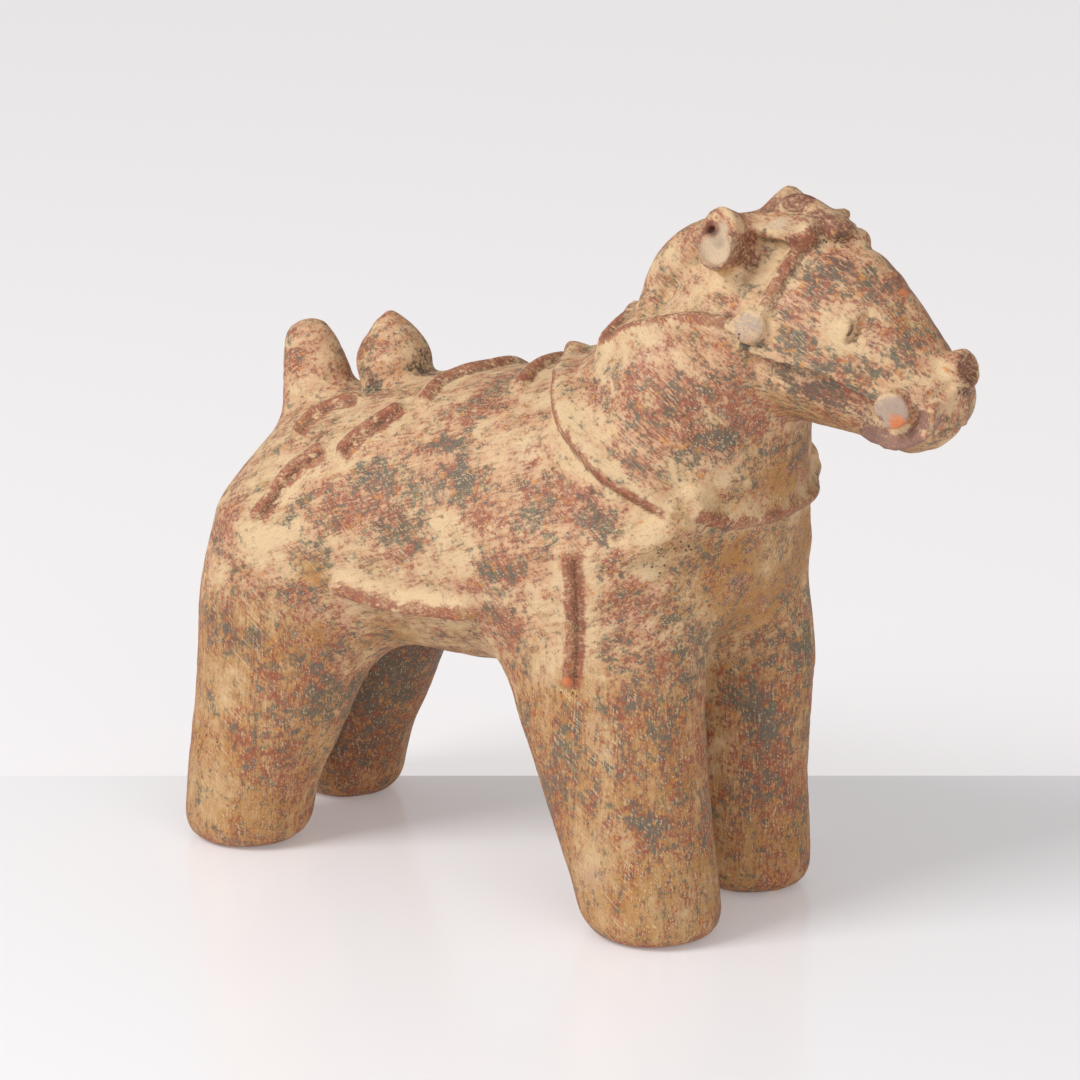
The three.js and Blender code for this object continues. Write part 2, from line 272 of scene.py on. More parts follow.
add(lambda at: limb(at, TAIL), (-150, -40, 180), (-75, 40, 285), 9)
add(lambda at: limb(at, ACORN, cap=0.6), (-95, -35, 205), (-25, 35, 290), 6)

# ------------------------------------------------------------------ forelock, brow knob and ears
# The forelock is tied up on the poll: a pointed tuft over a flat ledge, with a round knob on the
# brow in front. The ears are short rolls of clay stuck straight out sideways, their ends left open.


def pellet(centre, half_sizes):
    """An egg-shaped lump of clay."""
    centre, half_sizes = np.asarray(centre, float), np.asarray(half_sizes, float)

    def shape(at):
        offset = (at - centre) / half_sizes
        reach = np.linalg.norm(offset, axis=1) + 1e-6
        slope = np.linalg.norm(offset / half_sizes, axis=1) / reach + 1e-6
        return (reach - 1) / slope
    return shape


def rod(start, end, start_radius, end_radius):
    """A rod of clay with round ends."""
    start, end = np.asarray(start, float), np.asarray(end, float)

    def shape(at):
        run = end - start
        share = np.clip((at - start) @ run / (run @ run), 0, 1)
        return (np.linalg.norm(at - start - share[:, None] * run, axis=1)
                - start_radius - share * (end_radius - start_radius))
    return shape


def roundel(centre, facing, radius, half_thick, edge=1.0, tall=1.0):
    """A flat round piece with softened edges, made taller than wide where tall is above 1."""
    facing = np.asarray(facing, float) / np.linalg.norm(facing)
    level = np.cross(facing, (0, 0, 1))
    level /= np.linalg.norm(level)
    rise = np.cross(level, facing)

    def shape(at):
        offset = at - np.asarray(centre, float)
        height = offset @ facing
        out = np.hypot(offset @ level, (offset @ rise) / tall) - (radius - edge)
        over = np.abs(height) - (half_thick - edge)
        return (np.minimum(np.maximum(out, over), 0) - edge
                + np.hypot(np.maximum(out, 0), np.maximum(over, 0)))
    return shape


POLL_BOX = (140, -40, 322), (225, 40, 378)
LEDGE_MIDDLE, LEDGE_FACING = (175, -12, 351), (0.0, -0.45, 0.90)
LEDGE_HALF_LONG, LEDGE_HALF_THICK, LEDGE_TALL = 17.5, 2.8, 0.5
UNDERCUT_BACK, UNDERCUT_FRONT = (161, -19.44, 342.5), (189, -18, 344)
POLL_MOUND = (178, 0, 344), (24, 12, 10)
BROW_KNOB = (200.5, -2, 350.5), (8, 8, 6.2)
KNOB_FOOT = (207, 5, 344), (6.5, 7, 6.5)
TUFT = [(163, 2, 348, 8, 7), (170, 2.5, 354, 8.5, 8), (177, 3, 357.5, 7.5, 6.5), (186, 2, 354, 8, 7.5),
        (197, 0, 349.5, 7, 7)]
add(pellet(*POLL_MOUND), *POLL_BOX, 6)
for middle, facing, back, front in zip(both_sides(LEDGE_MIDDLE), both_sides(LEDGE_FACING),
                                       both_sides(UNDERCUT_BACK), both_sides(UNDERCUT_FRONT)):
    add(roundel(middle, facing, LEDGE_HALF_LONG, LEDGE_HALF_THICK, 0.8, LEDGE_TALL), *POLL_BOX, 0.6)
    cut(rod(back, front, 1.8, 1.6), *POLL_BOX, 0.6)
add(lambda at: limb(at, TUFT, cap=0.6), *POLL_BOX, 2.5)
add(pellet(*BROW_KNOB), *POLL_BOX, 1.2)
add(pellet(*KNOB_FOOT), *POLL_BOX, 2.5)

EAR_MIDDLE = (154.5, -22, 341.5)
EAR_FACING = (0.06, -0.93, 0.36)
EAR_RADIUS, EAR_HALF_LENGTH, EAR_TALL = 10.4, 15, 1.45
LEAF_RADIUS, LEAF_HALF_THICK, LEAF_TALL = 9.2, 2.0, 1.12
LEAF_HOLLOW = (7.8, 3.2, 7.8)
for middle, facing in zip(both_sides(EAR_MIDDLE), both_sides(EAR_FACING)):
    facing /= np.linalg.norm(facing)
    box = middle - (22, 24, 24), middle + (22, 24, 24)
    add(roundel(middle, facing, EAR_RADIUS, EAR_HALF_LENGTH, 1.4, EAR_TALL), *box, 5)
    level = np.cross(facing, (0, 0, 1)) * math.copysign(1, -facing[1])
    upward = np.cross(level, facing) * math.copysign(1, -facing[1])
    end = middle + facing * EAR_HALF_LENGTH
    leaf, pit = end - upward * 5.6 - level * 1.2, end + upward * 3.6 + level * 4.4
    add(roundel(leaf, facing, LEAF_RADIUS, LEAF_HALF_THICK, 0.7, LEAF_TALL), *box, 0.5)
    cut(pellet(leaf + facing * 2.8 - upward * 0.6 - level * 0.8, LEAF_HOLLOW), *box, 0.6)
    cut(rod(pit - facing * 3, pit + facing * 2, 1.6, 2.2), *box, 0.8)
    cut(rod(pit, end + upward * 9.5 + level * 2.0, 1.5, 0.9), *box, 0.6)
    fold_top = leaf + facing * 1.8 + upward * 10.5
    fold_foot = leaf + facing * 1.6 + upward * 2.5 + level * 1.5
    cut(rod(fold_top, fold_foot, 3.4, 1.5), *box, 0.5)

# ------------------------------------------------------------------ harness discs
# Pellets of clay pressed flat stand for the bridle's fittings: one on each cheek, one over each end
# of the bit and one on the tip of the nose. The near bit disc has lost its lower corner, and a gap
# shows under the near cheek disc.

DISC_RADIUS = 8.2
CHEEK_DISC = (177, -38.5, 307.5), (0.05, -0.96, 0.28)
BIT_DISC = (247.5, -26.8, 275.5), (0.24, -0.96, -0.08)
NOSE_DISC = (268, -0.5, 292), (0.93, -0.10, 0.33)
NOSE_DISH = (272.6, -1.2, 293.7), (2.2, 6.0, 6.0)
LOST_CORNER = (251.6, -32.0, 269.4), (5.0, 3.2, 4.4)
GAP = (167, -41, 297.5), (175, -40, 298.5), (180, -39.5, 296.5)
GAP_BOX = (160, -50, 288), (190, -30, 306)

for (place, facing), radius in ((CHEEK_DISC, DISC_RADIUS), (BIT_DISC, DISC_RADIUS + 0.6)):
    for centre, outward in zip(both_sides(place), both_sides(facing)):
        add(roundel(centre, outward, radius, 3.6, 1.0), centre - 16, centre + 16, 1.4)
add(roundel(*NOSE_DISC, 9.3, 4.4, 1.6), (250, -20, 272), (292, 20, 314), 2.0)
cut(pellet(*NOSE_DISH), (262, -14, 280), (290, 14, 308), 2.0)
cut(pellet(*LOST_CORNER), (242, -40, 260), (261, -22, 279), 0.6)
cut(rod(GAP[0], GAP[1], 1.3, 1.9), *GAP_BOX, 0.8)
cut(rod(GAP[1], GAP[2], 1.9, 1.0), *GAP_BOX, 0.8)

# ------------------------------------------------------------------ straps
# Harness and saddle straps are rolls of clay pressed on with a finger: one edge is left crisp and
# the other smeared out into the body. Every strap of the right side has a twin on the left.


def clay_at(at):
    """The grid's value at points, from the eight grid points around each."""
    offset = (np.asarray(at) - GRID_LOW) / FINE
    base = np.clip(offset.astype(int), 0, np.array(clay.shape) - 2)
    share = offset - base
    value = np.zeros(len(offset))
    for corner in np.ndindex(2, 2, 2):
        weight = np.prod(np.where(corner, share, 1 - share), axis=-1)
        value += weight * clay[tuple((base + corner).T)]
    return value


def facing_at(at, reach=3.0):
    """The way the clay's surface faces near each point."""
    slopes = np.stack([clay_at(at + reach * step) - clay_at(at - reach * step) for step in np.eye(3)], -1)
    return slopes / (np.linalg.norm(slopes, axis=1, keepdims=True) + 1e-9)


class Strap:
    """A strap laid along guide points, or a groove drawn along them where proud is below nought.
    It reaches crisp to the left of the guide, seen from outside, and smeared to its right."""

    def __init__(self, guide, crisp, smeared, proud):
        line = smooth_line(guide, 5)
        for _ in range(3):
            line = line - facing_at(line) * clay_at(line)[:, None]
        self.line, self.facing = line, facing_at(line)
        self.crisp, self.smeared, self.proud = crisp, smeared, proud

    def lay(self, at):
        """How far points are beside the strap's middle, and past its ends."""
        closest = np.full(len(at), 1e9)
        beside, beyond = np.zeros(len(at)), np.zeros(len(at))
        for i, (here, there) in enumerate(zip(self.line[:-1], self.line[1:])):
            length = np.linalg.norm(there - here)
            along = (there - here) / length
            facing = self.facing[i] + self.facing[i + 1]
            side = np.cross(facing, along)
            side /= np.linalg.norm(side)
            offset = at - here
            travel = offset @ along
            past = travel - np.clip(travel, 0, length)
            away = (offset ** 2).sum(1) - travel ** 2 + past ** 2
            better = away < closest
            closest[better] = away[better]
            beside[better] = (offset @ side)[better]
            at_end = (i == 0) & (past < 0) | (i == len(self.line) - 2) & (past > 0)
            beyond[better] = np.where(at_end, np.abs(past), 0)[better]
        return beside, beyond, np.sqrt(closest)

    def across(self, beside, beyond):
        """How far out from the strap's middle points are: 1 at its edge."""
        half = np.where(beside > 0, self.crisp, self.smeared)
        return np.hypot(beside / half, beyond / (0.5 * (self.crisp + self.smeared)))

    def press_on(self):
        pad = max(self.crisp, self.smeared) + abs(self.proud) + 3
        skin = abs(self.proud) + 4
        where, at = grid_points(self.line.min(0) - pad, self.line.max(0) + pad, skin)
        beside, beyond, away = self.lay(at)
        across = np.minimum(self.across(beside, beyond), 1)
        roll = np.sqrt(1 - across ** 2)
        smear = 0.5 + 0.5 * np.cos(math.pi * across)
        height = np.where(beside > 0, 0.75 * roll + 0.25 * smear, smear)
        near = away < max(self.crisp, self.smeared) + skin + 2
        clay[where] -= np.where(near, self.proud * height, 0)


def twin(guide):
    """The same guide on the horse's left side, turned end for end so its crisp side stays put."""
    return [(x, -y, z) for x, y, z in guide][::-1]


RUMP_STRAPS = [
    [(-89, -43, 218), (-87, -35, 224), (-80, -28, 230), (-66, -26, 235)],
    [(-49, -58, 218), (-44, -53, 225), (-37, -48, 231), (-29, -40, 238)],
    [(-94, -72, 181), (-87, -68, 192), (-80, -61, 204), (-65, -56, 215)]]
BELLY_STRAP = [(31, -67, 151.5), (9, -67, 149.5), (-9, -67, 148.5), (-28, -67, 149.5), (-43, -68, 152)]
SHOULDER_STRAP = [(100.5, -76, 130), (103, -77, 151), (103.5, -78, 172), (103, -78, 192)]
CANTLE = [(-15, -35, 243), (-16, -20, 250), (-10, -8, 255), (-3, 4, 257), (0, 18, 254), (-4, 32, 246)]
POMMEL = [(38, -27, 256), (35, -14, 262), (34, 0, 263), (35, 14, 262), (38, 27, 256)]
COLLAR = [(50, 0, 266), (52, -6, 265), (59, -24, 264), (66, -34, 263), (72, -43, 258), (83, -55, 250),
          (92, -60, 245), (102, -64, 239), (112, -65.5, 233), (123, -65, 228), (132, -63, 224),
          (142, -58.5, 218)]
CHEST_BAND = [(156, -48, 217), (165, -37, 212), (174, -15, 211), (176, 0, 211), (174, 15, 211),
              (165, 37, 212), (156, 48, 217)]
REIN = [(91, 0, 290), (90, -14, 289), (90, -25, 286), (94, -33, 287), (100, -34.5, 293),
        (112, -35, 298.5), (124, -36, 302), (136, -37, 305), (148, -38, 307), (164, -38, 307)]
CHEEK_STRAP = [(195, -6, 352), (191, -10, 346), (188, -14, 340), (187, -21, 334), (185, -27, 326),
               (183, -32, 317)]
BIT_ROLL = [(264, -19, 277), (262, -20, 269), (257, -21, 262.5), (250, -21, 258.5), (243, -20, 257),
            (236, -20, 260), (231, -19, 265)]
LUG = [(134, -67, 197), (141, -61, 203), (149, -54, 212), (156, -48, 220)]

straps = []


def press(guide, crisp, smeared, proud, inked, sides=2):
    """Press a strap on one side or on both. Its red slip reaches inked to its left and right."""
    for run in (guide, twin(guide))[:sides]:
        straps.append(Strap(run, crisp, smeared, proud))
        straps[-1].inked = inked
        straps[-1].press_on()


# Each strap's reach on its crisp side and on its smeared side, how proud it stands, and its slip.
for guide in RUMP_STRAPS:
    press(guide[::-1], 3.0, 8.0, 4.0, (7.0, 2.5))
press(BELLY_STRAP, 4.4, 11.0, 5.6, (6.0, 5.0))
press(SHOULDER_STRAP[::-1], 2.4, 9.0, 3.6, (6.5, 3.0))
press(CANTLE[::-1], 4.5, 10.0, 4.2, (4.5, 1.5), sides=1)
press(POMMEL[::-1], 4.5, 10.0, 3.8, (4.5, 1.5), sides=1)
press(COLLAR[::-1], 3.6, 15.0, 4.6, (3.4, 1.0))
press(CHEST_BAND[::-1], 5.0, 6.0, 3.8, (5.0, 2.0), sides=1)
press(REIN, 3.4, 12.0, 4.4, (2.6, 3.0))
press(CHEEK_STRAP, 3.4, 8.0, 5.0, (3.0, 3.0))
press(BIT_ROLL, 4.4, 4.4, 6.6, (0, 0), sides=1)
press(twin(BIT_ROLL)[:5], 4.4, 4.4, 6.6, (0, 0), sides=1)
press(LUG, 10.0, 10.0, 5.0, (0, 0))

# Grooves: the sharp lower edge of the cheek, the eye slit, the nostril, the ring round the bit
# disc, the mouth, a nail scratch on the flank and the marks of the fingers that smoothed the mane
# and the chest. Each has a reach to either side and a depth. The eye also has a sunk corner and a lid.

JAW_EDGE = [(178, -38, 293), (189, -38, 291), (203, -36, 289), (213, -34.5, 287), (227, -31, 281),
            (238, -27, 276)]
EYE_SLIT = [(229, -22, 317), (227, -25, 312), (224, -28.5, 306)]
NOSTRIL = [(261, -20, 280), (265, -16, 284), (268, -11, 287)]
BIT_RING = [(258, -22, 275), (256, -23, 269), (251, -24, 266), (245, -25, 265.5), (240, -25, 268),
            (238, -25, 272)]
MOUTH = [(260, -18, 264.5), (264, -12, 264), (266, -4, 263), (267, 4, 263)]
SCRATCH = [(69, -78, 177), (77, -78, 167), (85, -78, 157)]
MANE_EDGE = [(111, -27, 303), (120, -21, 314.5), (129, -18, 325), (138, -18, 335)]
CHEST_MARKS = [[(152, -54, 205), (146, -58, 190), (135, -66, 176)],
               [(163, -40, 205), (155, -50, 188), (146, -57, 172)],
               [(171, -25, 203), (163, -38, 182), (154, -48, 160)]]

GROOVES = [(JAW_EDGE, 1.4, 17.0, 6.5), (EYE_SLIT, 2.0, 3.2, 4.2), (NOSTRIL, 2.0, 4.5, 2.6),
           (BIT_RING, 1.5, 1.5, 2.6), (MOUTH, 1.8, 2.6, 2.0), (SCRATCH, 1.3, 1.3, 1.4),
           (MANE_EDGE, 5.0, 7.0, 1.6), (CHEST_MARKS[0], 4.0, 5.0, 1.2),
           (CHEST_MARKS[1], 4.0, 5.0, 1.4), (CHEST_MARKS[2], 4.0, 5.0, 1.2)]
EYE_CORNER, EYE_CORNER_SIZES = (231.5, -24.0, 313.5), (4.6, 2.6, 4.2)
EYE_LID, EYE_LID_SIZES = (222.0, -27.0, 311.0), (3.2, 2.6, 5.0)
for guide, crisp, smeared, depth in GROOVES:
    for run in (guide, twin(guide)):
        Strap(run, crisp, smeared, -depth).press_on()
for corner, lid in zip(both_sides(EYE_CORNER), both_sides(EYE_LID)):
    cut(pellet(corner, EYE_CORNER_SIZES), (220, -35, 300), (242, 35, 325), 1.0)
    add(pellet(lid, EYE_LID_SIZES), (212, -38, 300), (234, 38, 325), 1.5)

# Chips: the front of the muzzle is knocked flat, and corners are gone from the nose and the feet.

FLATS = [((271.5, 0, 275), (1, -0.12, 0.05)), ((262, -9, 253), (0.55, -0.15, -0.82)),
         ((263, 10, 254), (0.55, 0.2, -0.80))]
for point, facing in FLATS:
    facing = np.asarray(facing, float) / np.linalg.norm(facing)
    where, at = grid_points((240, -30, 240), (282, 30, 283))
    clay[where] = np.maximum(clay[where], (at - point) @ facing - 0.5)
CHIPS = [((242, -6, 320), 3.0), ((269.5, -15, 268), 3.0), ((160, -67, 4), 4.0), ((-148, -70, 2), 3.6),
         ((-131, -83, 3), 3.4), ((140, -80, 1), 3.6), ((118, -79, 4), 3.2), ((-92, -46, 2), 3.6),
         ((152, 28, 3), 3.4), ((99, 66, 2), 3.8)]
for place, radius in CHIPS:
    cut(pellet(place, (radius, radius, radius * 0.8)), np.subtract(place, 9), np.add(place, 9), 0.8)

# ------------------------------------------------------------------ fired clay
# The whole horse is one hollow lump, fired once. Its skin is drawn through the grid where the value
# passes nought, and then gets the dents and finger marks of hand work.

cell_shape = np.array(clay.shape) - 1
wet = clay < 0
filled = np.zeros(cell_shape, np.uint8)
for corner in np.ndindex(2, 2, 2):
    filled += wet[tuple(slice(c, c + n) for c, n in zip(corner, cell_shape))]
cells = np.argwhere((filled > 0) & (filled < 8))
number = np.full(cell_shape, -1, np.int32)
number[tuple(cells.T)] = np.arange(len(cells))
total, crossings = np.zeros((len(cells), 3)), np.zeros(len(cells))
for axis in range(3):
    for first, second in np.ndindex(2, 2):
        start, end = np.insert([first, second], axis, 0), np.insert([first, second], axis, 1)
        a, b = clay[tuple((cells + start).T)], clay[tuple((cells + end).T)]
        crossed = (a < 0) != (b < 0)
        share = np.where(crossed, a / np.where(crossed, a - b, 1), 0)
        total += np.where(crossed[:, None], start + share[:, None] * (end - start), 0)
        crossings += crossed
points = GRID_LOW + FINE * (cells + total / crossings[:, None])

quads = []
for axis in range(3):
    others = [(axis + 1) % 3, (axis + 2) % 3]
    low, high = [slice(1, -1)] * 3, [slice(1, -1)] * 3
    low[axis], high[axis] = slice(0, -1), slice(1, None)
    for outward in (True, False):
        inner, outer = (low, high) if outward else (high, low)
        crossed = np.argwhere(wet[tuple(inner)] & ~wet[tuple(outer)]) + (np.arange(3) != axis)
        ring = []
        for step in ((-1, -1), (0, -1), (0, 0), (-1, 0)):
            cell = crossed.copy()
            cell[:, others] += step
            ring.append(number[tuple(cell.T)])
        ring = np.stack(ring, -1)
        quads.append(ring if outward else ring[:, ::-1])
quads = np.vstack(quads)

pairs = np.unique(np.sort(np.vstack([quads[:, [i, (i + 1) % 4]] for i in range(4)]), axis=1), axis=0)
degree = np.bincount(pairs.ravel(), minlength=len(points))
for _ in range(2):
    sums = np.stack([np.bincount(pairs[:, 0], points[pairs[:, 1], k], len(points))
                     + np.bincount(pairs[:, 1], points[pairs[:, 0], k], len(points))
                     for k in range(3)], -1)
    points += 0.5 * (sums / degree[:, None] - points)


def ease(value, start, end):
    """0 before start, 1 after end, and a soft rise between."""
    t = np.clip((value - start) / (end - start), 0, 1)
    return t * t * (3 - 2 * t)


def unevenness(at, size, seed):
    """Soft random bumps from -1 to 1, each about size across."""
    dice = np.random.default_rng(seed).uniform(-1, 1, (32, 32, 32))
    offset = at / np.asarray(size, float) + 100
    base = np.floor(offset).astype(int)
    share = offset - base
    share = share * share * (3 - 2 * share)
    value = np.zeros(len(at))
    for corner in np.ndindex(2, 2, 2):
        weight = np.prod(np.where(corner, share, 1 - share), axis=-1)
        value += weight * dice[tuple(((base + corner) % 32).T)]
    return value


def on_legs(at):
    x, _, z = at.T
    return ease(z, 158, 118) * np.maximum(ease(x, -48, -72), ease(x, 46, 70))


def on_head(at):
    return ease(at[:, 0], 160, 182) * ease(at[:, 2], 240, 262)


def on_neck(at):
    return ease(at[:, 2], 212, 240) * ease(at[:, 0], 62, 88) * (1 - on_head(at))


leg = on_legs(points)
upright, lengthways = (13, 13, 55), (55, 13, 13)
dents = (0.55 * unevenness(points, 34, 1) + 0.25 * unevenness(points, 15, 2)
         + 0.30 * leg * unevenness(points, upright, 3)
         + 0.30 * (1 - leg) * unevenness(points, lengthways, 4)
         + 0.10 * unevenness(points, 5, 5) + 0.06 * unevenness(points, 2.6, 6))
points += facing_at(points, 2.5) * dents[:, None]
points[:, 2] = np.maximum(points[:, 2], 0)

TRIANGLES = 190000
rough = bpy.data.meshes.new("rough")
rough.vertices.add(len(points))
rough.vertices.foreach_set("co", ((points - MIDDLE) * MM).ravel())
rough.loops.add(quads.size)
rough.loops.foreach_set("vertex_index", quads.ravel().astype(np.int32))
rough.polygons.add(len(quads))
rough.polygons.foreach_set("loop_start", np.arange(0, quads.size, 4, dtype=np.int32))
rough.update(calc_edges=True)
lump = bpy.data.objects.new("lump", rough)
bpy.context.collection.objects.link(lump)
thinner = lump.modifiers.new("thin", "DECIMATE")
thinner.ratio = TRIANGLES / (2 * len(quads))
bpy.context.view_layer.update()
mesh = bpy.data.meshes.new_from_object(lump.evaluated_get(bpy.context.evaluated_depsgraph_get()))
bpy.data.objects.remove(lump)
mesh.name = "fired_clay"
mesh.polygons.foreach_set("use_smooth", np.ones(len(mesh.polygons), bool))
horse = bpy.data.objects.new("fired_horse", mesh)
bpy.context.collection.objects.link(horse)
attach(horse, "root")
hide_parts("horse")

# ------------------------------------------------------------------ slip and firing colours
# The clay was brushed with a cream slip and with iron-red slip, scrubbed while damp and fired in
# smoke, and painted shade is laid on top in places. Each patch below is a place, how far the patch
# spreads, and stands on both flanks.

CREAM_PATCHES = [
    (-85, 75, 165, 20), (-95, 76, 132, 18), (-115, 74, 88, 18), (-120, 80, 28, 24), (-15, 70, 160, 16),
    (15, 70, 165, 14), (25, 75, 195, 14), (60, 60, 235, 20), (60, 40, 255, 13), (92, 56, 252, 17),
    (115, 66, 230, 11), (136, 66, 205, 13), (155, 50, 230, 18), (152, 46, 260, 10), (108, 44, 285, 14),
    (132, 35, 290, 14), (118, 20, 322, 14), (142, 30, 318, 14), (176, 12, 343, 18), (226, 30, 310, 11),
    (258, 8, 294, 10), (246, 24, 286, 9), (86, 75, 128, 12), (108, 76, 125, 13), (112, 76, 98, 12),
    (140, 76, 25, 22), (118, 80, 42, 16), (-60, 55, 214, 15), (-75, 74, 180, 13), (-2, 12, 256, 15),
    (-105, 60, 200, 13), (-118, 74, 45, 20), (-124, 60, 62, 20), (124, 76, 30, 20), (-30, 64, 122, 15),
    (88, 79, 165, 11), (182, 36, 316, 9), (-40, 20, 236, 14), (30, 60, 118, 14)]
RED_PATCHES = [
    (20, 40, 250, 18), (12, 55, 235, 16), (-35, 70, 200, 20), (130, 56, 270, 19), (96, 75, 215, 16),
    (106, 70, 222, 13), (130, 72, 125, 22), (142, 62, 148, 17), (-65, 62, 95, 22), (-92, 72, 62, 20),
    (152, 25, 90, 24), (150, 28, 58, 18), (245, 12, 308, 15), (218, 28, 281, 18), (170, 32, 255, 19),
    (162, 38, 274, 13), (68, 79, 186, 18), (56, 76, 150, 16), (-66, 70, 140, 15), (8, 75, 180, 15),
    (-115, 66, 175, 15), (136, 68, 172, 14), (146, 12, 350, 14), (120, 5, 346, 16), (104, 5, 320, 12),
    (230, 10, 322, 14), (140, 30, 305, 8), (-126, 30, 140, 22), (-92, 79, 42, 14), (-100, 79, 60, 10),
    (150, 60, 110, 16), (146, 66, 60, 14), (-113, 14, 250, 15), (40, 78, 205, 14), (-80, 20, 90, 34),
    (-105, 8, 60, 26), (-100, 20, 30, 24), (88, 60, 70, 24)]
GREY_PATCHES = [
    (150, 46, 274, 9), (240, 24, 300, 11), (205, 22, 333, 13), (201, 36, 302, 15), (130, 61, 240, 12),
    (114, 70, 216, 11), (152, 32, 142, 17), (142, 16, 105, 16), (-100, 76, 115, 11), (22, 60, 230, 12),
    (106, 50, 276, 12), (236, 30, 279, 10), (146, 70, 60, 8), (16, 75, 206, 14), (76, 75, 206, 13),
    (200, 35, 288, 13), (154, 46, 245, 12), (130, 66, 220, 9), (106, 76, 104, 8), (-56, 74, 165, 12),
    (165, 40, 210, 10), (-60, 38, 82, 24), (150, 46, 150, 14), (-58, 10, 240, 13), (60, 78, 178, 10),
    (-20, 70, 215, 12), (95, 40, 60, 20), (-92, 10, 70, 30), (-98, 12, 112, 30), (-70, 30, 100, 24),
    (30, 70, 222, 12), (-10, 72, 190, 12), (-70, 76, 190, 10), (-118, 60, 120, 14), (125, 78, 90, 9)]
OCHRE_PATCHES = [
    (-60, 70, 155, 10), (150, 56, 85, 16), (140, 70, 72, 14), (155, 45, 45, 24), (160, 34, 22, 20),
    (160, 10, 160, 32), (243, 14, 314, 11), (-60, 60, 118, 15), (166, 30, 185, 28), (168, 10, 228, 20),
    (-30, 50, 112, 22), (60, 40, 118, 22)]


def patches(at, spots):
    """How strongly points lie in any of the patches, from 0 to 1."""
    value = np.zeros(len(at))
    folded = np.stack([at[:, 0], np.abs(at[:, 1]), at[:, 2]], -1)
    folded += 7 * np.stack([unevenness(at, 17, seed) for seed in (21, 22, 23)], -1)
    for x, y, z, spread in spots:
        away = ((folded - (x, y, z)) ** 2).sum(1)
        value = np.maximum(value, np.exp(-away / spread ** 2))
    return value


points = np.empty(len(mesh.vertices) * 3, np.float32)
mesh.vertices.foreach_get("co", points)
points = points.reshape(-1, 3) / MM + MIDDLE
facing = np.empty(len(mesh.vertices) * 3, np.float32)
mesh.vertices.foreach_get("normal", facing)
facing = facing.reshape(-1, 3).astype(float)
hollow = np.clip(1.1 - (clay_at(points + facing * 6) + 0.4) / 6, 0, 1)
crest = np.clip(1 - (0.4 - clay_at(points - facing * 4)) / 4, 0, 1)

STRAP_REACH, OFF_STRAP = 22, -20.0
edge, rim = np.full(len(points), OFF_STRAP), np.zeros(len(points))
for strap in straps:
    if not any(strap.inked):
        continue
    lowest, highest = strap.line.min(0) - STRAP_REACH, strap.line.max(0) + STRAP_REACH
    near = ((points > lowest) & (points < highest)).all(1)
    beside, beyond, away = strap.lay(points[near])
    left, right = strap.inked
    inside = np.minimum(np.where(beside > 0, left - beside, right + beside), 2 - beyond)
    edge[near] = np.maximum(edge[near], np.where(away < STRAP_REACH, inside, OFF_STRAP))
    # A thin line along each strap's crisp edge, where painted shade is laid as under the step.
    step_shade_line = np.exp(-((beside - strap.crisp) / 1.1) ** 2) * (beyond < 1) * (away < STRAP_REACH)
    rim[near] = np.maximum(rim[near], step_shade_line)
